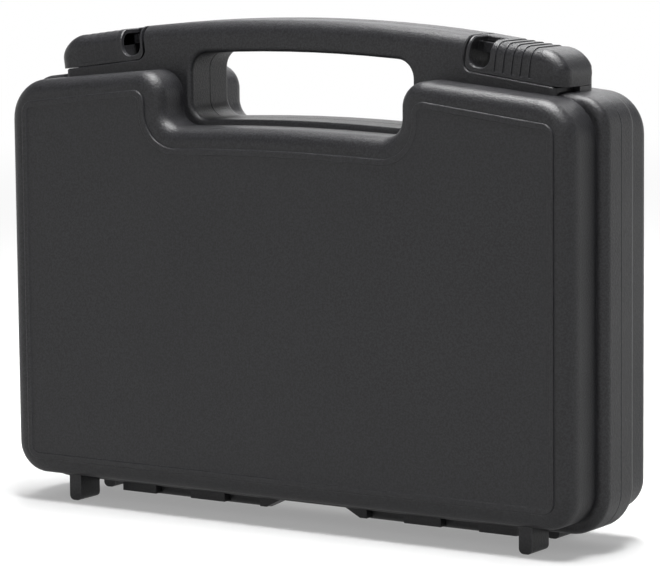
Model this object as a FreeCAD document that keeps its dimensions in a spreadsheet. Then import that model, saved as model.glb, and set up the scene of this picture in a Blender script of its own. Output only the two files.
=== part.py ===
"""Hard tool case: two moulded shells, sliding latch caps, pinned hinges and foam.

The case stands on its hinge side.  X runs along its length, Y goes from the front face
to the back face, Z is up.  The origin is on the floor, under the middle of the parting plane.
All lengths are millimetres and all angles are degrees.
"""
import FreeCAD, Part
import math
import os

Vector = FreeCAD.Vector
os.makedirs("parts", exist_ok=True)
doc = FreeCAD.newDocument("ToolCase")

# Driving dimensions, each written once
SIZES = {
    # Rim: the wide flange round both shells, on each side of the parting plane
    "rim_half_width": 164.5,
    "rim_bottom": 8.3,
    "rim_crown": 227.3,
    "rim_depth": 14.0,
    "rim_edge_radius": 4.4,
    "rim_top_radius": 15.0,
    "rim_bottom_radius": 20.0,
    "rim_wall": 3.0,
    "top_slope_angle": 6.75,
    "parting_chamfer": 0.35,
    # Tray: the deep part of each shell
    "rim_overhang": 5.2,
    "tray_crown": 222.6,
    "tray_slope_angle": 5.45,
    "tray_depth": 36.5,
    "tray_edge_radius": 7.6,
    "tray_top_radius": 20.0,
    "tray_bottom_radius": 15.5,
    "tray_wall": 2.5,
    # Notch that the tray leaves under the handle
    "notch_half_width": 67.4,
    "notch_floor": 188.4,
    "notch_rise": 1.6,
    "notch_top_radius": 12.0,
    "notch_floor_radius": 9.0,
    # Raised face panel: a border band round a field that lies a little deeper
    "panel_raise": 1.0,
    "panel_side_margin": 9.0,
    "panel_bottom_margin": 7.8,
    "panel_crown": 215.9,
    "panel_notch_side": 8.4,
    "panel_notch_drop": 10.0,
    "panel_corner_radius": 6.0,
    "panel_notch_radius": 17.0,
    "panel_edge_radius": 0.85,
    "panel_border": 3.2,
    "panel_recess": 0.4,
    "panel_recess_bevel": 0.35,
    # Handle: an arch with a hand hole
    "handle_half_length": 92.0,
    "handle_crown": 240.3,
    "handle_arch_radius": 850.0,
    "handle_half_depth": 16.0,
    "handle_edge_radius": 7.5,
    "handle_wall": 2.6,
    "hole_half_width": 62.9,
    "hole_floor": 191.1,
    "hole_height": 34.1,
    "hole_corner_radius": 9.0,
    "hole_lip_radius": 2.5,
    # Latch caps, in the sloping frame of the shoulders that they slide on
    "latch_tilt_angle": 7.6,
    "latch_height": 15.4,
    "latch_length": 53.6,
    "latch_flat": 40.0,
    "latch_brow_radius": 14.5,
    "latch_half_depth": 15.6,
    "latch_plan_radius": 7.2,
    "latch_edge_radius": 6.8,
    "latch_heel_radius": 3.5,
    "latch_wall": 2.2,
    "latch_gap": 1.3,
    "latch_clearance": 0.3,
    "latch_travel": 11.5,
    # Window near the handle end of each cap, and the grip ribs
    "window_start": 2.7,
    "window_width": 10.9,
    "window_sill": 2.1,
    "window_radius": 4.8,
    "window_bevel": 0.5,
    "rib_start": 16.7,
    "rib_pitch": 4.6,
    "rib_depth": 0.45,
    "rib_sill": 1.3,
    # Rail of the front shell that holds the cap, and the lips that hook under it
    "rail_start": 15.5,
    "rail_end": 45.0,
    "rail_height": 7.5,
    "rail_depth": 13.0,
    "neck_height": 2.5,
    "neck_depth": 11.0,
    "lip_start": 16.0,
    "lip_length": 3.0,
    "lip_end": 44.5,
    "lip_depth": 11.4,
    "lip_low": 0.3,
    "lip_high": 2.1,
    "nib_length": 1.6,
    # Shoulder of the rear shell, its lugs, and the cap's hooks behind them
    "shoulder_height": 7.6,
    "shoulder_overlap": 4.0,
    "shoulder_setback": 4.0,
    "shoulder_bevel": 0.6,
    "hook_first": 14.0,
    "hook_second": 34.5,
    "hook_length": 8.0,
    "hook_thickness": 3.0,
    "hook_low": 3.4,
    "hook_play": 0.6,
    "lug_front": 1.0,
    "lug_thickness": 3.2,
    "recess_start": 13.0,
    "recess_floor": 3.0,
    "brow_room": 2.2,
    "skirt_start": 10.3,
    # Padlock eye: a tab on the front shell and a hole in the rear shell
    "eye_start": 3.5,
    "eye_width": 9.0,
    "eye_height": 5.5,
    "eye_radius": 2.0,
    "eye_wall": 4.0,
    "tab_length": 14.5,
    "tab_bottom": 8.0,
    "tab_top": 12.4,
    "tab_front": 3.2,
    "tab_back": 0.15,
    # Hinges
    "hinge_height": 6.2,
    "knuckle_radius": 3.9,
    "knuckle_length": 20.75,
    "knuckle_gap": 0.4,
    "hinge_inner_end": 18.0,
    "hinge_outer_end": 114.0,
    "hinge_ramp": 11.5,
    "hinge_relief": 0.35,
    "hinge_block_depth": 8.0,
    "hinge_block_low": 3.6,
    "hinge_root": 1.5,
    "pin_inset": 8.5,
    "pin_radius": 1.5,
    "pin_clearance": 0.05,
    # Feet
    "foot_centre": 129.4,
    "foot_width": 7.0,
    "foot_front": 26.6,
    "foot_back": 11.3,
    "foot_shift": 7.5,
    "foot_radius": 2.6,
    "foot_root": 1.0,
    # Foam pads
    "foam_thickness": 18.0,
    "foam_clearance": 0.3,
    # One overrun for cuts that run past a face
    "overrun": 2.0,
}

sheet = doc.addObject("Spreadsheet::Sheet", "Sizes")
for row, (alias, number) in enumerate(SIZES.items(), start=1):
    sheet.set(f"A{row}", alias)
    sheet.set(f"B{row}", str(number))
    sheet.setAlias(f"B{row}", alias)
doc.recompute()


class Size:
    """The sheet's values by name, as plain numbers."""

    def __getattr__(self, alias):
        return float(sheet.get(alias))


size = Size()
KNUCKLES_PER_HINGE = 5
RIB_COUNT = 5
SIDES = (-1, 1)
EPSILON = 1e-6
TOUCH = 1e-3
LOOSE = 0.02
# Share of a shallow arch's span that is curved, between straight ends
ARCH_SHARE = 0.8


# Helpers for outlines and sketches

def slope(angle):
    """Rise over run of a slope given in degrees."""
    return math.tan(math.radians(angle))


def rounded_outline(corners):
    """Closed outline through (x, y, radius) corners, as lines and tangent arcs."""
    count = len(corners)
    pieces = []
    for i in range(count):
        here = Vector(corners[i][0], corners[i][1], 0)
        before = Vector(*corners[i - 1][:2], 0)
        after = Vector(*corners[(i + 1) % count][:2], 0)
        radius = corners[i][2]
        if radius <= 0:
            pieces.append((here, None, here))
            continue
        to_before = (before - here).normalize()
        to_after = (after - here).normalize()
        half = to_before.getAngle(to_after) / 2
        reach = radius / math.tan(half)
        middle = (to_before + to_after).normalize()
        crown = here + middle * (radius / math.sin(half) - radius)
        pieces.append((here + to_before * reach, crown, here + to_after * reach))
    geometry = []
    for i in range(count):
        start, crown, end = pieces[i]
        if crown is not None:
            geometry.append(Part.Arc(start, crown, end))
        onward = pieces[(i + 1) % count][0]
        if end.distanceToPoint(onward) > EPSILON:
            geometry.append(Part.LineSegment(end, onward))
    return geometry


def plane_sketch(body, name, role, distance="0"):
    """Sketch on one of the body's own origin planes, moved along its normal by an expression."""
    plane = next(item for item in body.Origin.OriginFeatures if item.Role == role)
    sketch = body.newObject("Sketcher::SketchObject", name)
    sketch.AttachmentSupport = [(plane, "")]
    sketch.MapMode = "FlatFace"
    if distance != "0":
        sketch.setExpression("AttachmentOffset.Base.z", distance)
    return sketch


def draw(sketch, *outlines):
    """Add closed outlines to a sketch."""
    for outline in outlines:
        sketch.addGeometry(outline, False)
    return sketch


def checked(body, feature):
    """The feature, once it is recomputed and known to have a good shape."""
    doc.recompute()
    failed = "Invalid" in feature.State or "Error" in feature.State
    if failed or feature.Shape.isNull() or not feature.Shape.isValid():
        raise RuntimeError(f"{body.Label}: {feature.Name} failed")
    return feature


def pad(body, name, sketch, length):
    """Pad a sketch by a length given as an expression."""
    feature = body.newObject("PartDesign::Pad", name)
    feature.Profile = sketch
    feature.setExpression("Length", length)
    return checked(body, feature)


def pocket(body, name, sketch, length):
    """Pocket a sketch by a length given as an expression, and check that it cut something."""
    before = body.Tip.Shape.Volume
    feature = body.newObject("PartDesign::Pocket", name)
    feature.Profile = sketch
    feature.setExpression("Length", length)
    feature.Reversed = True
    checked(body, feature)
    if not feature.Shape.Volume < before:
        raise RuntimeError(f"{body.Label}: {name} cut nothing")
    return feature


def mirrored(side, start, end):
    """Front and back y of a span measured from the parting plane on one side, as expressions."""
    return (f"-({end})", f"-({start})") if side < 0 else (start, end)


def span_sketch(body, label, back, outlines):
    """Sketch at the back end of a span, seen from the front."""
    sketch = plane_sketch(body, f"{body.Label}_{label}_outline", "XZ_Plane", f"-({back})")
    return draw(sketch, *outlines)


def slab(body, label, span, *outlines):
    """Add material inside outlines seen from the front, between two y positions."""
    front, back = span
    sketch = span_sketch(body, label, back, outlines)
    return pad(body, f"{body.Label}_{label}", sketch, f"({back}) - ({front})")


def cut_slab(body, label, span, *outlines):
    """Remove material inside outlines seen from the front, between two y positions."""
    front, back = span
    sketch = span_sketch(body, label, back, outlines)
    return pocket(body, f"{body.Label}_{label}", sketch, f"({back}) - ({front})")


def turned(body, kind, label, spans, radius):
    """Cylinders along the hinge axis over (start, end) spans of x, added or removed."""
    sketch = plane_sketch(body, f"{body.Label}_{label}_outline", "XZ_Plane")
    sketch.setExpression("AttachmentOffset.Base.y", "Sizes.hinge_height")
    draw(sketch, *[rectangle(start, end, 0, radius) for start, end in spans])
    feature = body.newObject(kind, f"{body.Label}_{label}")
    feature.Profile = sketch
    feature.ReferenceAxis = (sketch, ["H_Axis"])
    return checked(body, feature)


def edge_names(feature, wanted):
    """Names of the feature's edges for which wanted(edge) holds."""
    return [f"Edge{i}" for i, edge in enumerate(feature.Shape.Edges, start=1) if wanted(edge)]


def fillet(body, name, feature, wanted, radius):
    """Round the wanted edges of a feature by a radius given as an expression."""
    names = edge_names(feature, wanted)
    if not names:
        raise RuntimeError(f"{body.Label}: {name} found no edge")
    rounded = body.newObject("PartDesign::Fillet", name)
    rounded.Base = (feature, names)
    rounded.setExpression("Radius", radius)
    return checked(body, rounded)


def chamfer(body, name, feature, wanted, width):
    """Bevel the wanted edges of a feature by a width given as an expression."""
    names = edge_names(feature, wanted)
    if not names:
        raise RuntimeError(f"{body.Label}: {name} found no edge")
    bevelled = body.newObject("PartDesign::Chamfer", name)
    bevelled.Base = (feature, names)
    bevelled.setExpression("Size", width)
    return checked(body, bevelled)


def lies_on_y(edge, y):
    """True when the whole edge lies in the plane at this y."""
    return all(abs(point.y - y) < TOUCH for point in edge.discretize(3))


# Outlines seen from the front, as (x, z, radius) corners

def rectangle(left, right, low, high):
    """Plain rectangle."""
    return rounded_outline([(left, low, 0), (right, low, 0), (right, high, 0), (left, high, 0)])


def symmetric(right_half, *middle, base=()):
    """Outline from the corners of its right half and those at x = 0, above and below them."""
    left_half = [(-x, z, radius) for x, z, radius in reversed(right_half)]
    return rounded_outline([*base, *right_half, *middle, *left_half])


def tray_half_width():
    """Outer half width of the tray."""
    return size.rim_half_width - size.rim_overhang


def tray_floor():
    """Height of the tray's underside above the floor."""
    return size.rim_bottom + size.rim_overhang


def shallow_arch(half_length, end_height, rise, end_reach):
    """Corner at x = 0 of a shallow arch that rises by rise between two rounded ends."""
    apex = rise / (1 - ARCH_SHARE / 2)
    grade = apex / half_length
    return 0, end_height + apex, ARCH_SHARE * (half_length - end_reach) / grade


def deep_arch(crown, radius, half_span):
    """Corner at x = 0 and grade of an arc with this crown that is tangent to lines at its ends."""
    turn = math.asin(half_span / radius)
    return (0, crown + radius * (1 / math.cos(turn) - 1), radius), math.tan(turn)


def rim_outline():
    """Rim seen from the front."""
    fall = slope(size.top_slope_angle)
    width = size.rim_half_width
    right = [
        (width, size.rim_bottom, size.rim_bottom_radius),
        (width, size.rim_crown - fall * width, size.rim_top_radius),
    ]
    return symmetric(right, (0, size.rim_crown, 0))


def hollow_outline(width, floor, bottom_radius, top_radius, inset):
    """Tray seen from the front with its notch; inset moves the top and the notch inwards."""
    fall = slope(size.tray_slope_angle)
    crown = size.tray_crown - inset
    notch = size.notch_half_width + inset
    notch_floor = size.notch_floor - inset
    floor_radius = size.notch_floor_radius
    right = [
        (width, floor, bottom_radius),
        (width, crown - fall * width, top_radius),
        (notch, crown - fall * notch, size.notch_top_radius - inset),
        (notch, notch_floor, floor_radius),
    ]
    return symmetric(right, shallow_arch(notch, notch_floor, size.notch_rise, floor_radius))


def tray_outline():
    """Outside of the tray."""
    return hollow_outline(tray_half_width(), tray_floor(), size.tray_bottom_radius,
                          size.tray_top_radius, 0)


def tray_cavity_outline(clearance=0.0):
    """Inside of the tray, or a pad that fits it with this clearance."""
    inset = size.tray_wall + clearance
    return hollow_outline(tray_half_width() - inset, tray_floor() + inset,
                          size.tray_bottom_radius - inset, size.tray_top_radius - inset, inset)


def rim_cavity_outline():
    """Inside of the rim at the parting plane."""
    width = size.rim_half_width - size.rim_wall
    floor = size.rim_bottom + size.rim_wall
    radius = size.rim_bottom_radius - size.rim_wall
    return hollow_outline(width, floor, radius, radius, size.tray_wall)


def panel_outline(inset):
    """Raised face panel, which follows the tray's edge and the notch, or its inset field."""
    fall = slope(size.top_slope_angle)
    crown = size.panel_crown - inset
    width = tray_half_width() - size.panel_side_margin - inset
    notch = size.notch_half_width + size.panel_notch_side + inset
    notch_floor = size.notch_floor - size.panel_notch_drop - inset
    corner = size.panel_corner_radius - inset
    floor_radius = size.panel_notch_radius + inset
    right = [
        (width, tray_floor() + size.panel_bottom_margin + inset, corner),
        (width, crown - fall * width, corner),
        (notch, crown - fall * notch, corner),
        (notch, notch_floor, floor_radius),
    ]
    return symmetric(right, shallow_arch(notch, notch_floor, size.notch_rise, floor_radius))


# The shoulders and latch caps use a frame that leans with the case's falling top

def heel():
    """Where the handle's end wall meets the slope that the cap slides on, as (x, z)."""
    radius = size.handle_arch_radius
    turn = math.asin(size.handle_half_length / radius)
    top = size.handle_crown - radius * (1 - math.cos(turn))
    tilt = math.radians(size.latch_tilt_angle)
    x = size.handle_half_length - size.latch_height * math.sin(tilt)
    return x, top - size.latch_height * math.cos(tilt)


def leaning(side, along, above):
    """Point (x, z) in the case's frame of a point along and above the cap's slope."""
    tilt = math.radians(size.latch_tilt_angle)
    x, z = heel()
    x += along * math.cos(tilt) + above * math.sin(tilt)
    z += above * math.cos(tilt) - along * math.sin(tilt)
    return side * x, z


def leaning_outline(side, corners):
    """Outline from (along, above, radius) corners on the cap's slope."""
    return rounded_outline([(*leaning(side, along, above), radius)
                            for along, above, radius in corners])


def leaning_box(side, start, end, low, high):
    """Rectangle on the cap's slope."""
    return leaning_outline(side, [(start, low, 0), (end, low, 0), (end, high, 0), (start, high, 0)])


def handle_outline():
    """Front plate of the handle, down to below the notch's floor."""
    arch, grade = deep_arch(size.handle_crown, size.handle_arch_radius, size.handle_half_length)
    toe = size.latch_heel_radius + size.latch_gap
    seat = -size.latch_clearance
    root = size.notch_floor - size.tray_wall
    outer_x = leaning(1, 2 * toe, seat)[0]
    right = [
        (outer_x, root, 0),
        (*leaning(1, 2 * toe, seat), 0),
        (*leaning(1, 0, seat), toe),
        (size.handle_half_length, arch[1] - grade * size.handle_half_length, 0),
    ]
    return symmetric(right, arch)


def hole_top():
    """Crown of the hand hole."""
    return size.hole_floor + size.hole_height


def hole_outline():
    """Hand hole, whose floor rises with the notch's floor."""
    width = size.hole_half_width
    radius = size.hole_corner_radius
    arch_radius = size.handle_arch_radius - (size.handle_crown - hole_top())
    arch, grade = deep_arch(hole_top(), arch_radius, ARCH_SHARE * width)
    floor = shallow_arch(width, size.hole_floor, size.notch_rise, radius)
    right = [(width, size.hole_floor, radius), (width, arch[1] - grade * width, radius)]
    return symmetric(right, arch, base=[floor])


def handle_hollow_outline():
    """Space inside the handle half: the arch above the hole and one leg at each side of it."""
    wall = size.handle_wall
    fall = slope(size.tray_slope_angle)
    crown = size.handle_crown - wall
    outer = leaning(1, -wall, 0)[0]
    inner = size.hole_half_width + wall
    arch, grade = deep_arch(crown, size.handle_arch_radius - wall, ARCH_SHARE * outer)
    ledge_outer = size.tray_crown - fall * outer + wall
    ledge_inner = size.tray_crown - fall * inner + wall
    under, under_grade = deep_arch(hole_top() + wall, size.handle_arch_radius,
                                   ARCH_SHARE * inner)
    half = [
        (inner, ledge_inner, 0),
        (outer, ledge_outer, 0),
        (outer, arch[1] - grade * outer, wall),
    ]
    back = [(-x, z, radius) for x, z, radius in reversed(half)]
    return rounded_outline([*half, arch, *back,
                            (-inner, under[1] - under_grade * inner, wall), under,
                            (inner, under[1] - under_grade * inner, wall)])


# Shells

def build_shell(name, side):
    """One moulded shell; side is -1 for the front shell and 1 for the rear shell."""
    body = doc.addObject("PartDesign::Body", name)
    body.Label = name
    rim_front = side * size.rim_depth
    tray_front = side * size.tray_depth
    panel_front = side * (size.tray_depth + size.panel_raise)
    plate_front = side * size.handle_half_depth

    # Rim, with a rounded front edge and a fine bevel at the parting plane
    rim = slab(body, "rim", mirrored(side, "0", "Sizes.rim_depth"), rim_outline())
    rim = fillet(body, f"{name}_rim_edge", rim, lambda e: lies_on_y(e, rim_front),
                 "Sizes.rim_edge_radius")
    chamfer(body, f"{name}_rim_parting", rim, lambda e: lies_on_y(e, 0), "Sizes.parting_chamfer")

    # Tray and its raised face panel
    tray = slab(body, "tray", mirrored(side, "0", "Sizes.tray_depth"), tray_outline())
    fillet(body, f"{name}_tray_edge", tray, lambda e: lies_on_y(e, tray_front),
           "Sizes.tray_edge_radius")
    face = "Sizes.tray_depth + Sizes.panel_raise"
    panel = slab(body, "panel", mirrored(side, "0", face), panel_outline(0))
    fillet(body, f"{name}_panel_edge", panel, lambda e: lies_on_y(e, panel_front),
           "Sizes.panel_edge_radius")
    field = cut_slab(body, "panel_field",
                     mirrored(side, f"{face} - Sizes.panel_recess", f"{face} + Sizes.overrun"),
                     panel_outline(size.panel_border))
    side_reach = tray_half_width() - size.panel_side_margin - size.panel_border
    bottom_reach = tray_floor() + size.panel_bottom_margin + size.panel_border

    def round_field(edge):
        return lies_on_y(edge, panel_front) and all(
            abs(point.x) < side_reach + LOOSE and point.z > bottom_reach - LOOSE
            and point.z < size.panel_crown - size.panel_border
            - slope(size.top_slope_angle) * abs(point.x) + LOOSE
            for point in edge.discretize(3))

    chamfer(body, f"{name}_field_bevel", field, round_field, "Sizes.panel_recess_bevel")

    add_shoulders(body, side)

    # Handle plate, rounded along its top
    plate = slab(body, "handle", mirrored(side, "0", "Sizes.handle_half_depth"), handle_outline())

    def along_crown(edge, y):
        above = edge.BoundBox.ZMax > size.handle_crown - size.handle_edge_radius
        return lies_on_y(edge, y) and above and edge.Length > size.handle_half_length

    plate = fillet(body, f"{name}_handle_edge", plate, lambda e: along_crown(e, plate_front),
                   "Sizes.handle_edge_radius")
    if side < 0:
        plate = chamfer(body, f"{name}_seat_bevel", plate, borders_seat, "Sizes.shoulder_bevel")
    chamfer(body, f"{name}_handle_parting", plate, lambda e: along_crown(e, 0),
            "Sizes.parting_chamfer")

    # Hand hole with a rounded lip
    hole = cut_slab(body, "hand_hole",
                    mirrored(side, "0", "Sizes.handle_half_depth + Sizes.overrun"), hole_outline())

    def round_hole(edge, y):
        return lies_on_y(edge, y) and all(
            abs(point.x) < size.hole_half_width + LOOSE
            and size.hole_floor - LOOSE < point.z < hole_top() + LOOSE
            for point in edge.discretize(3))

    hole = fillet(body, f"{name}_hole_lip", hole, lambda e: round_hole(e, plate_front),
                  "Sizes.hole_lip_radius")
    chamfer(body, f"{name}_hole_parting", hole, lambda e: round_hole(e, 0),
            "Sizes.parting_chamfer")

    # Inside: rim, tray and the handle's own hollow
    cut_slab(body, "rim_cavity", mirrored(side, "0", "Sizes.rim_depth - Sizes.rim_wall"),
             rim_cavity_outline())
    cut_slab(body, "tray_cavity", mirrored(side, "0", "Sizes.tray_depth - Sizes.tray_wall"),
             tray_cavity_outline())
    cut_slab(body, "handle_hollow",
             mirrored(side, "0", "Sizes.handle_half_depth - Sizes.handle_wall"),
             handle_hollow_outline())

    add_feet(body, side)
    add_hinge(body, side)
    return body


def borders_seat(edge):
    """True for the front shell's front edges beside a latch cap."""
    heel_x, heel_z = heel()
    tilt = math.radians(size.latch_tilt_angle)
    for point in edge.discretize(3):
        out, up = abs(point.x) - heel_x, point.z - heel_z
        along = out * math.cos(tilt) - up * math.sin(tilt)
        above = out * math.sin(tilt) + up * math.cos(tilt)
        if along < -LOOSE or above < -size.latch_clearance - LOOSE:
            return False
    return lies_on_y(edge, -size.handle_half_depth)


def add_shoulders(body, side):
    """Shoulders under the latch caps, rounded in plan and cut to the caps' slope."""
    setback = size.shoulder_setback if side < 0 else 0
    outer = leaning(1, size.latch_length - setback, 0)[0]
    inner = size.handle_half_length - size.shoulder_overlap
    depth = side * size.handle_half_depth
    sketch = plane_sketch(body, f"{body.Label}_shoulder_plan", "XY_Plane",
                          "Sizes.notch_floor + Sizes.notch_top_radius")
    for x in SIDES:
        draw(sketch, rounded_outline([(x * inner, 0, 0), (x * outer, 0, 0),
                                      (x * outer, depth, size.latch_plan_radius - setback),
                                      (x * inner, depth, 0)]))
    pad(body, f"{body.Label}_shoulders", sketch, "Sizes.handle_crown - Sizes.notch_floor")
    top = -size.latch_clearance if side < 0 else size.shoulder_height
    far = size.latch_length + size.latch_height
    cut_slab(body, "shoulder_slope",
             mirrored(side, "0", "Sizes.handle_half_depth + Sizes.overrun"),
             *[leaning_box(x, -far, far, top, far) for x in SIDES])


def add_feet(body, side):
    """Two feet, set over on the rear shell so that both pairs mesh when the case is open."""
    shift = size.foot_shift if side > 0 else 0
    half = size.foot_width / 2
    top = tray_floor() + size.foot_root
    outlines = []
    for x in SIDES:
        middle = x * size.foot_centre - shift
        outlines.append(rounded_outline([(middle - half, 0, size.foot_radius),
                                         (middle + half, 0, size.foot_radius),
                                         (middle + half, top, 0), (middle - half, top, 0)]))
    slab(body, "feet", mirrored(side, "Sizes.foot_back", "Sizes.foot_front"), *outlines)


# Hinges

def knuckle_spans(side, shorter):
    """(start, end) in x of every knuckle of one shell, shorter by this much at each end."""
    spans = []
    for i in range(0 if side < 0 else 1, KNUCKLES_PER_HINGE, 2):
        end = size.hinge_outer_end - (KNUCKLES_PER_HINGE - 1 - i) * size.knuckle_length
        start = max(end - size.knuckle_length, size.hinge_inner_end)
        spans += [(start + shorter, end - shorter), (shorter - end, -start - shorter)]
    return spans


def pin_span():
    """Start and end of each hinge pin, as distances from the middle."""
    return size.hinge_inner_end + size.pin_inset, size.hinge_outer_end - size.knuckle_gap


def add_hinge(body, side):
    """Knuckles on their blocks, room for the other shell's knuckles, and the pin holes."""
    turned(body, "PartDesign::Groove", "hinge_relief", knuckle_spans(-side, 0),
           size.knuckle_radius + size.hinge_relief)
    own = knuckle_spans(side, size.knuckle_gap / 2)
    turned(body, "PartDesign::Revolution", "knuckles", own, size.knuckle_radius)
    root = size.rim_bottom + size.hinge_root
    slab(body, "hinge_blocks", mirrored(side, "0", "Sizes.hinge_block_depth"),
         *[rectangle(start, end, size.hinge_block_low, root) for start, end in own])
    if side < 0:
        low = size.hinge_height - size.knuckle_radius
        inner = size.hinge_inner_end
        ramps = [rounded_outline([(x * inner, size.rim_bottom, 0),
                                  (x * (inner + size.hinge_ramp), low, 0),
                                  (x * (inner + size.hinge_ramp), low - size.overrun, 0),
                                  (x * inner, low - size.overrun, 0)]) for x in SIDES]
        cut_slab(body, "hinge_ramps",
                 ("-Sizes.hinge_block_depth - Sizes.overrun",
                  "Sizes.knuckle_radius + Sizes.overrun"), *ramps)
    start, end = pin_span()
    start -= size.knuckle_gap
    end += size.overrun
    turned(body, "PartDesign::Groove", "pin_holes", [(start, end), (-end, -start)],
           size.pin_radius + size.pin_clearance)


def build_pin(name, side):
    """Steel pin of one hinge."""
    pin = doc.addObject("Part::Cylinder", name)
    pin.Label = name
    start, end = pin_span()
    pin.setExpression("Radius", "Sizes.pin_radius")
    pin.setExpression("Height", "Sizes.hinge_outer_end - Sizes.knuckle_gap"
                      " - Sizes.hinge_inner_end - Sizes.pin_inset")
    left = start if side > 0 else -end
    turn = FreeCAD.Rotation(Vector(0, 1, 0), 90)
    pin.Placement = FreeCAD.Placement(Vector(left, 0, size.hinge_height), turn)
    return pin


# Seats of the latch caps

def stop_start():
    """Where the stop nib begins, along the cap's slope."""
    return size.lip_start + size.lip_length + size.latch_travel + size.latch_clearance


def add_front_seats(body):
    """Rail with its stop nib, and the padlock tab, at each end of the front shell."""
    seat = -size.latch_clearance
    root = seat - size.overrun
    stop = stop_start()
    slab(body, "rail_neck", ("-Sizes.neck_depth", "0"),
         *[leaning_box(x, size.rail_start, size.rail_end, root, size.neck_height)
           for x in SIDES])
    slab(body, "rail_head", ("-Sizes.rail_depth", "0"),
         *[leaning_box(x, size.rail_start, size.rail_end, size.neck_height, size.rail_height)
           for x in SIDES])
    slab(body, "stop_nib", ("-Sizes.rail_depth", "-Sizes.neck_depth / 2"),
         *[leaning_box(x, stop, stop + size.nib_length, root, size.neck_height)
           for x in SIDES])
    slab(body, "padlock_tab", ("-Sizes.tab_front", "-Sizes.tab_back"),
         *[leaning_box(x, -size.overrun, size.tab_length, size.tab_bottom, size.tab_top)
           for x in SIDES])


def add_rear_seats(body):
    """Recess with lugs, room for the cap's end wall, and the padlock eye, on the rear shell."""
    seat = -size.latch_clearance
    past = size.latch_length + size.overrun
    high = size.latch_height
    cut_slab(body, "eye_space", ("0", "Sizes.handle_half_depth - Sizes.eye_wall"),
             *[leaning_box(x, 0, size.tab_length, seat, high) for x in SIDES])
    cut_slab(body, "eye",
             ("0", "Sizes.handle_half_depth + Sizes.overrun"),
             *[leaning_outline(x, [(size.eye_start, seat, size.eye_radius),
                                   (size.eye_start + size.eye_width, seat, size.eye_radius),
                                   (size.eye_start + size.eye_width, size.eye_height,
                                    size.eye_radius),
                                   (size.eye_start, size.eye_height, size.eye_radius)])
               for x in SIDES])
    cut_slab(body, "recess", ("0", f"{HOOK_BACK} + Sizes.hook_play"),
             *[leaning_box(x, size.recess_start, past, size.recess_floor, high) for x in SIDES])
    end_wall = size.latch_length - size.latch_wall - size.brow_room
    cut_slab(body, "skirt_space", ("0", "Sizes.skirt_start"),
             *[leaning_box(x, end_wall, past, seat, high) for x in SIDES])
    root = size.recess_floor - size.overrun
    slab(body, "lugs", ("Sizes.lug_front", "Sizes.lug_front + Sizes.lug_thickness"),
         *[leaning_box(x, start, start + size.hook_length, root, size.shoulder_height)
           for x in SIDES for start in (size.hook_first, size.hook_second)])


# Latch caps, each made in its own level frame and then leaned into place

HOOK_FRONT = "Sizes.lug_front + Sizes.lug_thickness + Sizes.hook_play"
HOOK_BACK = f"{HOOK_FRONT} + Sizes.hook_thickness"


def cap_outline(side, corners):
    """Outline from (along, above, radius) corners in the cap's own frame."""
    return rounded_outline([(side * along, above, radius) for along, above, radius in corners])


def cap_box(side, start, end, low, high):
    """Rectangle in the cap's own frame."""
    return cap_outline(side, [(start, low, 0), (end, low, 0), (end, high, 0), (start, high, 0)])


def cap_form(name, side, inset):
    """Outside of a cap, or the space inside it when inset is the wall."""
    body = doc.addObject("PartDesign::Body", name)
    body.Label = name
    radius = size.latch_brow_radius - inset
    top = size.latch_height - inset
    end = size.latch_length - inset
    turn = math.asin((end - size.latch_flat) / radius)
    start = -size.overrun if inset else size.latch_gap
    floor = -size.overrun if inset else 0
    less = " - Sizes.latch_wall" if inset else ""
    half = f"Sizes.latch_half_depth{less}"
    outline = cap_outline(side, [
        (start, floor, 0 if inset else size.latch_heel_radius),
        (end, floor, 0),
        (end, top - radius * (1 - math.cos(turn)), 0),
        (size.latch_flat + radius * math.tan(turn / 2), top, radius),
        (start, top, 0)])
    form = slab(body, "side_view", (f"-({half})", half), outline)

    def at_end(edge):
        box = edge.BoundBox
        upright = box.XLength < TOUCH and box.YLength < TOUCH
        return upright and abs(edge.Vertexes[0].X) > end - TOUCH

    form = fillet(body, f"{name}_plan", form, at_end, f"Sizes.latch_plan_radius{less}")

    def top_height(along):
        over = max(0, along - size.latch_flat)
        return top - radius + math.sqrt(radius ** 2 - over ** 2)

    def round_top(edge):
        points = edge.discretize(5)
        on_top = all(abs(point.z - top_height(abs(point.x))) < LOOSE for point in points)
        across = max(abs(points[0].x - point.x) for point in points) < TOUCH
        return on_top and not (across and abs(points[0].x) < end - TOUCH)

    fillet(body, f"{name}_top", form, round_top, f"Sizes.latch_edge_radius{less}")
    return body


def on_cap_skin(point):
    """True when a point lies on the outside of a cap's front or top."""
    radius = size.latch_edge_radius
    over = -point.y - (size.latch_half_depth - radius)
    up = point.z - (size.latch_height - radius)
    if over > 0 and up > 0:
        return abs(math.hypot(over, up) - radius) < LOOSE
    return abs(max(over, up) - radius) < LOOSE


def rib_section(name, side, index, inset):
    """Cross-section of the cap at one grip line, moved inwards by inset."""
    sketch = doc.addObject("Sketcher::SketchObject", name)
    turn = FreeCAD.Rotation(Vector(0, 1, 0), Vector(0, 0, 1), Vector(1, 0, 0))
    sketch.Placement = FreeCAD.Placement(Vector(), turn)
    sketch.setExpression("Placement.Base.x",
                         f"{side} * (Sizes.rib_start + {index} * Sizes.rib_pitch)")
    full = size.latch_half_depth
    half = full - inset
    sill = size.rib_sill
    ledge = sill + size.rib_depth
    top = size.latch_height - inset
    radius = size.latch_edge_radius - inset
    return draw(sketch, rounded_outline([(-full, sill, 0), (full, sill, 0), (half, ledge, 0),
                                         (half, top, radius), (-half, top, radius),
                                         (-half, ledge, 0)]))


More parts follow.
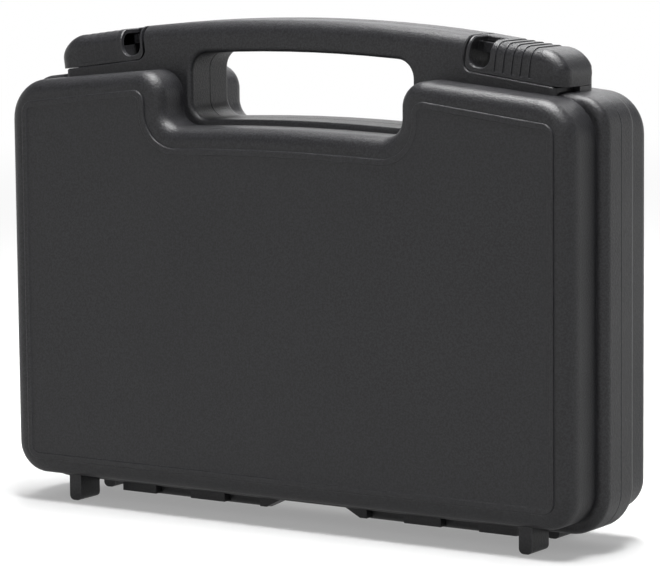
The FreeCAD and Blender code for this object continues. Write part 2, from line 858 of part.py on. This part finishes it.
def grip_ribs(name, side):
    """Five facets that each rise from a step to the cap's surface."""
    facets = []
    for i in range(RIB_COUNT):
        facet = doc.addObject("Part::Loft", f"{name}_rib_{i + 1}")
        facet.Sections = [rib_section(f"{name}_rib_{i + 1}_step", side, i, size.rib_depth),
                          rib_section(f"{name}_rib_{i + 1}_crest", side, i + 1, 0)]
        facet.Solid = True
        facet.Ruled = True
        facets.append(facet)
    return facets


def block(name, side, along, across, above):
    """Plain block in the cap's own frame from pairs of start and end expressions."""
    box = doc.addObject("Part::Box", name)
    start = along[0] if side > 0 else f"-({along[1]})"
    for length, base, value, (low, high) in (("Length", "x", start, along),
                                             ("Width", "y", across[0], across),
                                             ("Height", "z", above[0], above)):
        box.setExpression(length, f"({high}) - ({low})")
        box.setExpression(f"Placement.Base.{base}", value)
    return box


def build_cap(name, side):
    """Hollow sliding cap with grip ribs, a padlock window, lips for the rail and two hooks."""
    outside = cap_form(f"{name}_outside", side, 0)
    sides = "Sizes.latch_half_depth + Sizes.overrun"
    high = size.latch_height + size.overrun
    window_end = size.window_start + size.window_width
    window = cut_slab(outside, "window", (f"-({sides})", "0"),
                      cap_outline(side, [(size.window_start, size.window_sill, size.window_radius),
                                         (window_end, size.window_sill, size.window_radius),
                                         (window_end, high, 0), (size.window_start, high, 0)]))

    def round_window(edge):
        return all(size.window_start - LOOSE < abs(point.x) < window_end + LOOSE
                   and on_cap_skin(point) for point in edge.discretize(3))

    chamfer(outside, f"{name}_window_bevel", window, round_window, "Sizes.window_bevel")
    rib_end = size.rib_start + RIB_COUNT * size.rib_pitch
    cut_slab(outside, "rib_bed", (f"-({sides})", sides),
             cap_box(side, size.rib_start, rib_end, size.rib_sill, high))

    ribbed = doc.addObject("Part::MultiFuse", f"{name}_ribbed")
    ribbed.Shapes = [outside, *grip_ribs(name, side)]

    # The space inside, with the rear skirt cut short above the rear shoulder
    inside = cap_form(f"{name}_inside", side, size.latch_wall)
    skirt_low = size.shoulder_height + size.latch_clearance
    slab(inside, "skirt", ("Sizes.skirt_start", sides),
         cap_box(side, -size.overrun, size.latch_length + size.overrun, -size.overrun, skirt_low))
    hollow = doc.addObject("Part::Cut", f"{name}_hollow")
    hollow.Base = ribbed
    hollow.Tool = inside

    inner_face = "-(Sizes.latch_half_depth - Sizes.latch_wall / 2)"
    across = (inner_face, "-Sizes.lip_depth")
    above = ("Sizes.lip_low", "Sizes.lip_high")
    second = "Sizes.lip_start + Sizes.lip_length + Sizes.latch_travel + Sizes.nib_length"
    second = f"{second} + 2 * Sizes.latch_clearance"
    lips = [block(f"{name}_lip_1", side, ("Sizes.lip_start", "Sizes.lip_start + Sizes.lip_length"),
                  across, above),
            block(f"{name}_lip_2", side, (second, "Sizes.lip_end"), across, above)]
    plate = "Sizes.latch_height - Sizes.latch_wall / 2"
    hooks = [block(f"{name}_hook_{which}", side,
                   (f"Sizes.hook_{which}", f"Sizes.hook_{which} + Sizes.hook_length"),
                   (HOOK_FRONT, HOOK_BACK), ("Sizes.hook_low", plate))
             for which in ("first", "second")]
    cap = doc.addObject("Part::MultiFuse", name)
    cap.Label = name
    cap.Shapes = [hollow, *lips, *hooks]
    x, z = leaning(side, 0, 0)
    lean = FreeCAD.Rotation(Vector(0, 1, 0), side * size.latch_tilt_angle)
    cap.Placement = FreeCAD.Placement(Vector(x, 0, z), lean)
    return cap


def build_foam(name, side):
    """Foam pad that fills the back of one tray."""
    body = doc.addObject("PartDesign::Body", name)
    body.Label = name
    face = "Sizes.tray_depth - Sizes.tray_wall - Sizes.foam_clearance"
    slab(body, "pad", mirrored(side, f"{face} - Sizes.foam_thickness", face),
         tray_cavity_outline(size.foam_clearance))
    return body


front_shell = build_shell("front_shell", -1)
add_front_seats(front_shell)
rear_shell = build_shell("rear_shell", 1)
add_rear_seats(rear_shell)
parts = [
    front_shell,
    rear_shell,
    build_cap("latch_cap_left", -1),
    build_cap("latch_cap_right", 1),
    build_pin("hinge_pin_left", -1),
    build_pin("hinge_pin_right", 1),
    build_foam("lid_foam", -1),
    build_foam("base_foam", 1),
]
doc.recompute()

# Nothing is written unless every object and every part's shape is sound
for item in doc.Objects:
    faults = [state for state in item.State if state in ("Invalid", "Error")]
    if faults:
        raise RuntimeError(f"{item.Name}: {faults}")
for part in parts:
    shape = part.Shape
    if shape.isNull() or not shape.isValid() or len(shape.Solids) != 1:
        raise RuntimeError(f"{part.Label}: shape is not one sound solid")
for part in parts:
    box = part.Shape.BoundBox
    part.Shape.exportStep(f"parts/{part.Label}.step")
    print(f"{part.Label}: {box.XLength:.1f} x {box.YLength:.1f} x {box.ZLength:.1f} mm,"
          f" volume {part.Shape.Volume / 1000:.1f} cm3")
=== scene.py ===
# %% [markdown]
# This lesson dresses a hard tool case in Blender.
# The case is two black plastic mouldings that close against each other on a long hinge.
# They come from the imported CAD model, already in metres and in their final places.
# We load them first, and read a part's box from its points where it is needed.

# %% Load the imported case
import math
import bmesh
import bpy
from mathutils import Matrix, Vector


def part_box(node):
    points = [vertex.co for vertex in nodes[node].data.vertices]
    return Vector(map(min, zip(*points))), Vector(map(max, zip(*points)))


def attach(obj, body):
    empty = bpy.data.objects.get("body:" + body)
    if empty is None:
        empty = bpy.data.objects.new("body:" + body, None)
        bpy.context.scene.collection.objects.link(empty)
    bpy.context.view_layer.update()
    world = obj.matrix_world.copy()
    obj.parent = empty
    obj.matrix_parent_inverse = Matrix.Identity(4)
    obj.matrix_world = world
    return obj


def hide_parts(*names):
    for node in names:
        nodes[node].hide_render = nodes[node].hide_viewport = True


MM = 0.001


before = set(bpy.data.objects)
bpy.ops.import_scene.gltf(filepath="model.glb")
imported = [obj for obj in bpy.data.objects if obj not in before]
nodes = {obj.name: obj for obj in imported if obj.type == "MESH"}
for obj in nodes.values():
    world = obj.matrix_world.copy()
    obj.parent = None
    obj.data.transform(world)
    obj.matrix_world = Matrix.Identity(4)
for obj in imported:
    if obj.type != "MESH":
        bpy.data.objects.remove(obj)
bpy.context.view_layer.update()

# %% [markdown]
# Colours are written as the hex values that a screen shows.
# The renderer works with light instead, so one function turns hex into linear values.
# A second one adds a node to a tree, sets its sockets and joins them to other nodes.
# A socket goes by its name, or by its number, as in n0, where two share one name.

# %% Colour and node helpers
def linear(hex_colour, gain=1.0):
    """Linear RGBA of an sRGB hex colour, lighter by a factor."""
    channels = [int(hex_colour[i:i + 2], 16) / 255 for i in (1, 3, 5)]
    light = [c / 12.92 if c <= 0.04045 else ((c + 0.055) / 1.055) ** 2.4 for c in channels]
    return [gain * c for c in light] + [1]


def add_node(tree, kind, settings=None, **sockets):
    """Node of a kind, with plain settings, and sockets given as values or as other sockets."""
    node = tree.nodes.new(kind)
    for key, value in (settings or {}).items():
        setattr(node, key, value)
    for key, value in sockets.items():
        numbered = key[0] == "n" and key[1:].isdigit()
        socket = node.inputs[int(key[1:]) if numbered else key.replace("_", " ")]
        if isinstance(value, bpy.types.NodeSocket):
            tree.links.new(value, socket)
        else:
            socket.default_value = value
    return node


def new_material(name):
    """Empty material with its tree and output node."""
    material = bpy.data.materials.new(name)
    material.use_nodes = True
    tree = material.node_tree
    tree.nodes.clear()
    return material, tree, tree.nodes.new("ShaderNodeOutputMaterial")


print("a mid grey of #808080 is", round(linear("#808080")[0], 3), "in linear light")

# %% [markdown]
# Hands and floors polish the edges of a case first, so they are a little glossier.
# The edges are also drawn paler, as a painted highlight along them.
# A texture could hold both, but it would not follow the shape when it changes.
# The Bevel node finds the edges instead: near one, its rounded normal leaves the true one.
# The dot product of the two normals is 1 on a flat face and falls towards an edge.

# %% Find the edges for polish and painted highlight
EDGE_WIDTH = 1.2 * MM
EDGE_MASK_STARTS, EDGE_MASK_IS_FULL = 0.99, 0.8


def edge_polish_and_highlight(tree):
    """Socket that is 0 on flat faces and 1 on edges."""
    rounded = add_node(tree, "ShaderNodeBevel", {"samples": 4}, Radius=EDGE_WIDTH)
    flat = add_node(tree, "ShaderNodeNewGeometry")
    facing = add_node(tree, "ShaderNodeVectorMath", {"operation": "DOT_PRODUCT"},
                      n0=rounded.outputs[0], n1=flat.outputs["True Normal"])
    share = add_node(tree, "ShaderNodeMapRange", Value=facing.outputs["Value"],
                     n1=EDGE_MASK_STARTS, n2=EDGE_MASK_IS_FULL, n3=0.0, n4=1.0)
    return share.outputs[0]


print("edges are rubbed over a width of", round(EDGE_WIDTH / MM, 1), "mm")

# %% [markdown]
# The shells and caps are injection-moulded polypropylene with a fine spark-eroded texture.
# To the eye that is an even charcoal with a soft sheen, and a grain that shows only close by.
# The real grain is about 0.15 mm, too fine to render, so it is drawn at 0.9 mm.
# Dark and pale spots make it show on flat faces, and a bump breaks up the highlights.
# Slow changes of roughness stand for handling marks and for how unevenly a mould is etched.
# The caps are handled most, so they are a little smoother than the shells.

# %% Moulded black polypropylene
BLACK = "#19191b"
# Pale grain spots are 2.8 times lighter, and edges are painted 4 times lighter as a painted
# highlight.
PALE_SPOT_GAIN, EDGE_HIGHLIGHT_GAIN = 2.8, 4
EDGE_POLISH = 0.12
POLYPROPYLENE_IOR = 1.49
GRAIN_SIZE = 0.9 * MM
SPOT_EDGE = (0.38, 0.62)
PATCHES_PER_METRE = 14.0
PATCH_EDGE = (0.3, 0.7)


def moulded_plastic(name, low_roughness, high_roughness, grain_depth):
    """Black moulded plastic with etched grain, uneven sheen, polished edges and a painted edge
    highlight.
    """
    material, tree, output = new_material(name)
    place = add_node(tree, "ShaderNodeTexCoord").outputs["Object"]
    polished_and_highlighted = edge_polish_and_highlight(tree)
    grain = add_node(tree, "ShaderNodeTexNoise", Vector=place, Scale=1 / GRAIN_SIZE,
                     Detail=3.0, Roughness=0.6)
    spots = add_node(tree, "ShaderNodeMapRange", Value=grain.outputs["Fac"],
                     n1=SPOT_EDGE[0], n2=SPOT_EDGE[1])
    grained = add_node(tree, "ShaderNodeMix", {"data_type": "RGBA"}, n0=spots.outputs[0],
                       n6=linear(BLACK), n7=linear(BLACK, PALE_SPOT_GAIN))
    # Edges take the pale colour, a painted highlight along them, and below they also get their
    # polish.
    tint = add_node(tree, "ShaderNodeMix", {"data_type": "RGBA"}, n0=polished_and_highlighted,
                    n6=grained.outputs[2], n7=linear(BLACK, EDGE_HIGHLIGHT_GAIN))
    patches = add_node(tree, "ShaderNodeTexNoise", Vector=place, Scale=PATCHES_PER_METRE,
                       Detail=4.0, Roughness=0.55)
    sheen = add_node(tree, "ShaderNodeMapRange", Value=patches.outputs["Fac"],
                     n1=PATCH_EDGE[0], n2=PATCH_EDGE[1], n3=low_roughness, n4=high_roughness)
    polish = add_node(tree, "ShaderNodeMapRange", Value=polished_and_highlighted, n3=0.0, n4=-EDGE_POLISH)
    roughness = add_node(tree, "ShaderNodeMath", {"operation": "ADD"}, n0=sheen.outputs[0],
                         n1=polish.outputs[0])
    bump = add_node(tree, "ShaderNodeBump", Height=grain.outputs["Fac"], Strength=1.0,
                    Distance=grain_depth)
    shader = add_node(tree, "ShaderNodeBsdfPrincipled", Base_Color=tint.outputs[2],
                      Roughness=roughness.outputs[0], Normal=bump.outputs[0],
                      IOR=POLYPROPYLENE_IOR)
    tree.links.new(shader.outputs[0], output.inputs["Surface"])
    return material


shell_plastic = moulded_plastic("etched_polypropylene", 0.38, 0.46, 0.22 * MM)
cap_plastic = moulded_plastic("etched_polypropylene_cap", 0.36, 0.44, 0.2 * MM)
print("plastic:", shell_plastic.name, "and", cap_plastic.name)

# %% [markdown]
# The hinge pins are drawn steel wire, cut to length and pressed in from the ends.
# Drawing leaves fine scratches along the wire, which stretch its highlight lengthways.
# A noise that is squeezed across the wire and stretched along it gives such scratches.
# Real ones are far finer than 0.5 mm, but then they would not show.

# %% Drawn steel
STEEL = "#b4b4b6"
SCRATCH_LENGTH, SCRATCH_WIDTH = 25 * MM, 0.5 * MM
SCRATCH_DEPTH = 0.02 * MM


def drawn_steel(name):
    """Steel with fine scratches along X."""
    material, tree, output = new_material(name)
    place = add_node(tree, "ShaderNodeTexCoord").outputs["Object"]
    squeeze = (1 / SCRATCH_LENGTH, 1 / SCRATCH_WIDTH, 1 / SCRATCH_WIDTH)
    squeezed = add_node(tree, "ShaderNodeMapping", Vector=place, Scale=squeeze)
    scratch = add_node(tree, "ShaderNodeTexNoise", Vector=squeezed.outputs[0], Scale=1.0,
                       Detail=2.0)
    rough = add_node(tree, "ShaderNodeMapRange", Value=scratch.outputs["Fac"], n3=0.22, n4=0.4)
    bump = add_node(tree, "ShaderNodeBump", Height=scratch.outputs["Fac"], Strength=0.3,
                    Distance=SCRATCH_DEPTH)
    shader = add_node(tree, "ShaderNodeBsdfPrincipled", Base_Color=linear(STEEL),
                      Metallic=1.0, Roughness=rough.outputs[0], Normal=bump.outputs[0])
    tree.links.new(shader.outputs[0], output.inputs["Surface"])
    return material


pin_steel = drawn_steel("drawn_steel_wire")
print("steel:", pin_steel.name)

# %% [markdown]
# The shapes of the shells, the caps and the pins are right as they come from the CAD model.
# So they stay as they are, and each only gets its finish.

# %% Finish the CAD pieces
FINISHES = {
    "front_shell": shell_plastic,
    "rear_shell": shell_plastic,
    "latch_cap_left": cap_plastic,
    "latch_cap_right": cap_plastic,
    "hinge_pin_left": pin_steel,
    "hinge_pin_right": pin_steel,
}


def paint(obj, material):
    """Give every face of an object one material."""
    obj.data.materials.clear()
    obj.data.materials.append(material)


for name, material in FINISHES.items():
    paint(nodes[name], material)
    print(name, "is", material.name)

# %% [markdown]
# Each shell holds a pad of egg-crate foam, an open-cell polyurethane cut by a profiled roller.
# It is a matt charcoal, pitted all over with cells of about 0.8 mm.
# They are drawn at 1.2 mm, because smaller ones are lost in the render.

# %% Open-cell foam
FOAM_LIGHT, FOAM_DARK = "#4a4a4d", "#232325"
CELL_SIZE = 1.2 * MM
CELL_DEPTH = 0.4 * MM


def foam_material(name):
    """Charcoal open-cell foam, whose cells show as a fine speckle."""
    material, tree, output = new_material(name)
    place = add_node(tree, "ShaderNodeTexCoord").outputs["Object"]
    cells = add_node(tree, "ShaderNodeTexVoronoi", Vector=place, Scale=1 / CELL_SIZE)
    tint = add_node(tree, "ShaderNodeMix", {"data_type": "RGBA"}, n0=cells.outputs["Distance"],
                    n6=linear(FOAM_LIGHT), n7=linear(FOAM_DARK))
    bump = add_node(tree, "ShaderNodeBump", Height=cells.outputs["Distance"], Strength=0.8,
                    Distance=CELL_DEPTH)
    shader = add_node(tree, "ShaderNodeBsdfPrincipled", Base_Color=tint.outputs[2],
                      Roughness=0.95, Normal=bump.outputs[0])
    tree.links.new(shader.outputs[0], output.inputs["Surface"])
    return material


egg_foam = foam_material("open_cell_foam")
print("foam:", egg_foam.name)

# %% [markdown]
# The pad's peaks and valleys come in even rows, 25 mm apart, so they follow a rule.
# A product of two cosines has just that pattern, and Geometry Nodes can push a face in by it.
# The push fades out before the pad's back, which stays flat against the shell.
# The rule is a table with one row for each Math node: its name, operation and two inputs.

# %% Egg-crate rule
RULE = (
    ("x angle", "MULTIPLY", "X", 2 * math.pi),
    ("x phase", "DIVIDE", "x angle", "Pitch"),
    ("x wave", "COSINE", "x phase", 0.0),
    ("z angle", "MULTIPLY", "Z", 2 * math.pi),
    ("z phase", "DIVIDE", "z angle", "Pitch"),
    ("z wave", "COSINE", "z phase", 0.0),
    ("product", "MULTIPLY", "x wave", "z wave"),
    ("half", "MULTIPLY", "product", 0.5),
    ("wave", "SUBTRACT", 0.5, "half"),
    ("past face", "SUBTRACT", "Y", "Inner Face"),
    ("into pad", "MULTIPLY", "past face", "Side"),
    ("faded", "DIVIDE", "into pad", "Fade"),
    ("rest", "SUBTRACT", 1.0, "faded"),
    ("share", "MAXIMUM", "rest", 0.0),
    ("shared wave", "MULTIPLY", "share", "wave"),
    ("depth", "MULTIPLY", "shared wave", "Valley"),
    ("push", "MULTIPLY", "depth", "Side"),
)


def crate_tree(material):
    """Geometry Nodes tree that presses egg-crate valleys into one face of a pad."""
    tree = bpy.data.node_groups.new("egg_crate", "GeometryNodeTree")
    tree.interface.new_socket("Pad", in_out="INPUT", socket_type="NodeSocketGeometry")
    for label in ("Pitch", "Valley", "Fade", "Inner Face", "Side"):
        tree.interface.new_socket(label, in_out="INPUT", socket_type="NodeSocketFloat")
    tree.interface.new_socket("Foam", in_out="OUTPUT", socket_type="NodeSocketGeometry")
    given = tree.nodes.new("NodeGroupInput").outputs
    position = add_node(tree, "GeometryNodeInputPosition")
    place = add_node(tree, "ShaderNodeSeparateXYZ", Vector=position.outputs[0])
    values = {socket.name: socket for socket in [*given, *place.outputs]}
    for name, operation, *inputs in RULE:
        first, second = [values.get(key, key) for key in inputs]
        step = add_node(tree, "ShaderNodeMath", {"operation": operation}, n0=first, n1=second)
        values[name] = step.outputs[0]
    push = add_node(tree, "ShaderNodeCombineXYZ", Y=values["push"])
    pressed = add_node(tree, "GeometryNodeSetPosition", Geometry=given["Pad"],
                       Offset=push.outputs[0])
    smooth = add_node(tree, "GeometryNodeSetShadeSmooth", Geometry=pressed.outputs[0])
    real = add_node(tree, "GeometryNodeRealizeInstances", Geometry=smooth.outputs[0])
    foam = add_node(tree, "GeometryNodeSetMaterial", Geometry=real.outputs[0], Material=material)
    tree.links.new(foam.outputs[0], tree.nodes.new("NodeGroupOutput").inputs[0])
    return tree


crate = crate_tree(egg_foam)
print("the egg-crate tree has", len(crate.nodes), "nodes")

# %% [markdown]
# Each pad starts from the CAD pad, whose few large faces have no points to move.
# Subdividing them would leave uneven slivers, so a voxel remesh makes an even mesh instead.
# The CAD mesh is loose triangles, so the copy is welded first.
# Each pad rides on its shell's body and stands for the plain pad of the CAD model.

# %% Egg-crate pads
PITCH = 25 * MM
VALLEY = 11 * MM
FADE = 15 * MM
VOXEL = 2.5 * MM
WELD_DISTANCE = 1e-6


def even_pad(name, node):
    """Welded copy of a node's mesh, to be remeshed evenly."""
    pad = bpy.data.objects.new(name, nodes[node].data.copy())
    bpy.context.scene.collection.objects.link(pad)
    shape = bmesh.new()
    shape.from_mesh(pad.data)
    bmesh.ops.remove_doubles(shape, verts=shape.verts, dist=WELD_DISTANCE)
    shape.to_mesh(pad.data)
    shape.free()
    remesh = pad.modifiers.new("even_mesh", "REMESH")
    remesh.mode = "VOXEL"
    remesh.voxel_size = VOXEL
    return pad


def egg_crate(name, node, side, tree):
    """Foam pad with peaks and valleys on its inner face, inside the CAD pad of that node."""
    pad = even_pad(name, node)
    low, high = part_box(node)
    inner_face = low.y if side > 0 else high.y
    sizes = {"Pitch": PITCH, "Valley": VALLEY, "Fade": FADE, "Inner Face": inner_face,
             "Side": float(side)}
    press = pad.modifiers.new("crate", "NODES")
    press.node_group = tree
    for socket in tree.interface.items_tree:
        if socket.name in sizes:
            press[socket.identifier] = sizes[socket.name]
    graph = bpy.context.evaluated_depsgraph_get()
    pad.data = bpy.data.meshes.new_from_object(pad.evaluated_get(graph))
    pad.modifiers.clear()
    return pad


for node, side, body in (("lid_foam", -1, "lid"), ("base_foam", 1, "base")):
    pad = egg_crate(f"{node}_egg_crate", node, side, crate)
    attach(pad, body)
    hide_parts(node)
    print(pad.name, "has", len(pad.data.polygons), "faces")

# %% [markdown]
# The studio floor is white paper, wide enough to read as endless, with the case's soft shadow.
# The lamps light it only near the case, so further out it glows by itself, up to plain white.
# Only camera, mirror and glass rays see the glow, so it adds no light to matt surfaces.
# The camera sees the paper as white, and all other rays see it as a mid grey.
# So little light bounces up: photographers do this with grey cards, to keep black things black.

# %% White floor
WHITE = (1, 1, 1, 1)
PAPER, PAPER_FOR_BOUNCES = "#fafafa", "#b0b0b0"
FLOOR_REACH = 9.0
GLOW_STARTS, GLOW_IS_FULL = 0.3, 2.2
GLOW_NEAR_CASE = 0.3


def seen_directly(tree):
    """1 for rays from the camera, a mirror or glass, and 0 for light on its way to a surface."""
    rays = tree.nodes.new("ShaderNodeLightPath").outputs
    mirror = add_node(tree, "ShaderNodeMath", {"operation": "MAXIMUM"},
                      n0=rays["Is Glossy Ray"], n1=rays["Is Transmission Ray"])
    return add_node(tree, "ShaderNodeMath", {"operation": "MAXIMUM"},
                    n0=rays["Is Camera Ray"], n1=mirror.outputs[0]).outputs[0]


def paper_material(name):
    """White paper that glows more with the distance from the case."""
    material, tree, output = new_material(name)
    camera_ray = tree.nodes.new("ShaderNodeLightPath").outputs["Is Camera Ray"]
    paper = add_node(tree, "ShaderNodeMix", {"data_type": "RGBA"}, n0=camera_ray,
                     n6=linear(PAPER_FOR_BOUNCES), n7=linear(PAPER))
    matt = add_node(tree, "ShaderNodeBsdfDiffuse", Color=paper.outputs[2])
    glow = add_node(tree, "ShaderNodeEmission", Color=WHITE, Strength=seen_directly(tree))
    place = add_node(tree, "ShaderNodeTexCoord").outputs["Object"]
    away = add_node(tree, "ShaderNodeVectorMath", {"operation": "LENGTH"}, n0=place)
    share = add_node(tree, "ShaderNodeMapRange", {"interpolation_type": "SMOOTHSTEP"},
                     Value=away.outputs["Value"], n1=GLOW_STARTS, n2=GLOW_IS_FULL,
                     n3=GLOW_NEAR_CASE, n4=1.0)
    mixed = add_node(tree, "ShaderNodeMixShader", n0=share.outputs[0], n1=matt.outputs[0],
                     n2=glow.outputs[0])
    tree.links.new(mixed.outputs[0], output.inputs["Surface"])
    return material


corners = [(FLOOR_REACH * x, FLOOR_REACH * y, 0) for x, y in ((-1, -1), (1, -1), (1, 1), (-1, 1))]
floor_mesh = bpy.data.meshes.new("floor")
floor_mesh.from_pydata(corners, [], [(0, 1, 2, 3)])
floor = bpy.data.objects.new("floor", floor_mesh)
bpy.context.scene.collection.objects.link(floor)
paint(floor, paper_material("white_paper_floor"))
print("the floor is", 2 * FLOOR_REACH, "m wide")

# %% [markdown]
# The world stands for the rest of the room. It is a dim even grey that lifts the shadows.
# The same rays that see the floor's glow see a white band round the horizon, as a backdrop.
# It is low, so that tops and edges catch it while the faces stay dark.

# %% World
ROOM_LIGHT = 0.15
# Sine of the angle above the horizon
BAND_FADES, BAND_ENDS = 0.16, 0.3


def studio_world(name):
    """Dim even light from all round, with a white horizon for direct views."""
    world = bpy.data.worlds.new(name)
    world.use_nodes = True
    tree = world.node_tree
    tree.nodes.clear()
    around = add_node(tree, "ShaderNodeTexCoord").outputs["Generated"]
    direction = add_node(tree, "ShaderNodeSeparateXYZ", Vector=around)
    band = add_node(tree, "ShaderNodeMapRange", {"interpolation_type": "SMOOTHSTEP"},
                    Value=direction.outputs["Z"], n1=BAND_FADES, n2=BAND_ENDS, n3=1.0, n4=0.0)
    white = add_node(tree, "ShaderNodeMath", {"operation": "MULTIPLY"}, n0=band.outputs[0],
                     n1=seen_directly(tree))
    strength = add_node(tree, "ShaderNodeMapRange", Value=white.outputs[0], n3=ROOM_LIGHT,
                        n4=1.0)
    background = add_node(tree, "ShaderNodeBackground", Color=WHITE,
                          Strength=strength.outputs[0])
    output = tree.nodes.new("ShaderNodeOutputWorld")
    tree.links.new(background.outputs[0], output.inputs["Surface"])
    return world


bpy.context.scene.world = studio_world("studio")
print("world:", bpy.context.scene.world.name)

# %% [markdown]
# One large soft light hangs above the case and draws the bright lines along its edges.
# A second one behind it skims the tops of the handle and of the shells.
# A weak one at the front keeps the face panel from going flat.

# %% Lights
# Each has its place, the point it faces, its width and height in metres, and its watts
LIGHTS = {
    "overhead": ((0.05, 0.05, 1.2), (0, 0, 0.1), 1.0, 0.45, 29),
    "behind": ((-0.6, 1.7, 1.2), (0, 0, 0.2), 1.6, 0.6, 10),
    "front_fill": ((0.3, -2.0, 1.3), (0, 0, 0.2), 0.8, 0.8, 3),
}

for name, (place, target, width, height, watts) in LIGHTS.items():
    light = bpy.data.lights.new(name, "AREA")
    light.shape = "RECTANGLE"
    light.size, light.size_y, light.energy = width, height, watts
    lamp = bpy.data.objects.new(name, light)
    bpy.context.scene.collection.objects.link(lamp)
    lamp.location = place
    lamp.rotation_euler = (Vector(target) - Vector(place)).to_track_quat("-Z", "Y").to_euler()
    print(name, "gives", watts, "W")

# %% [markdown]
# The camera stands to the right of the case, a little above it, with a long lens.
# Its place and its angles were worked out from straight edges of the case in the photograph.
# The focal length came out in pixels, so it is turned into millimetres of lens here.

# %% Camera
CAMERA_PLACE = (0.94339, -1.40720, 0.33176)
YAW, PITCH_DOWN, ROLL = 0.587711, 0.129054, 0.009658
FOCAL_PIXELS, IMAGE_WIDTH = 3567.47, 660
SENSOR_WIDTH = 36
FARTHEST_VIEW = 50

lens = bpy.data.cameras.new("camera")
lens.sensor_width = SENSOR_WIDTH
lens.lens = FOCAL_PIXELS / IMAGE_WIDTH * SENSOR_WIDTH
lens.clip_end = FARTHEST_VIEW
camera = bpy.data.objects.new("camera", lens)
bpy.context.scene.collection.objects.link(camera)
turn = Matrix.Rotation(YAW, 4, "Z") @ Matrix.Rotation(math.pi / 2 - PITCH_DOWN, 4, "X")
camera.matrix_world = Matrix.Translation(CAMERA_PLACE) @ turn @ Matrix.Rotation(-ROLL, 4, "Z")
bpy.context.scene.camera = camera
bpy.context.scene.view_settings.view_transform = "Standard"
print("lens:", round(lens.lens, 1), "mm")
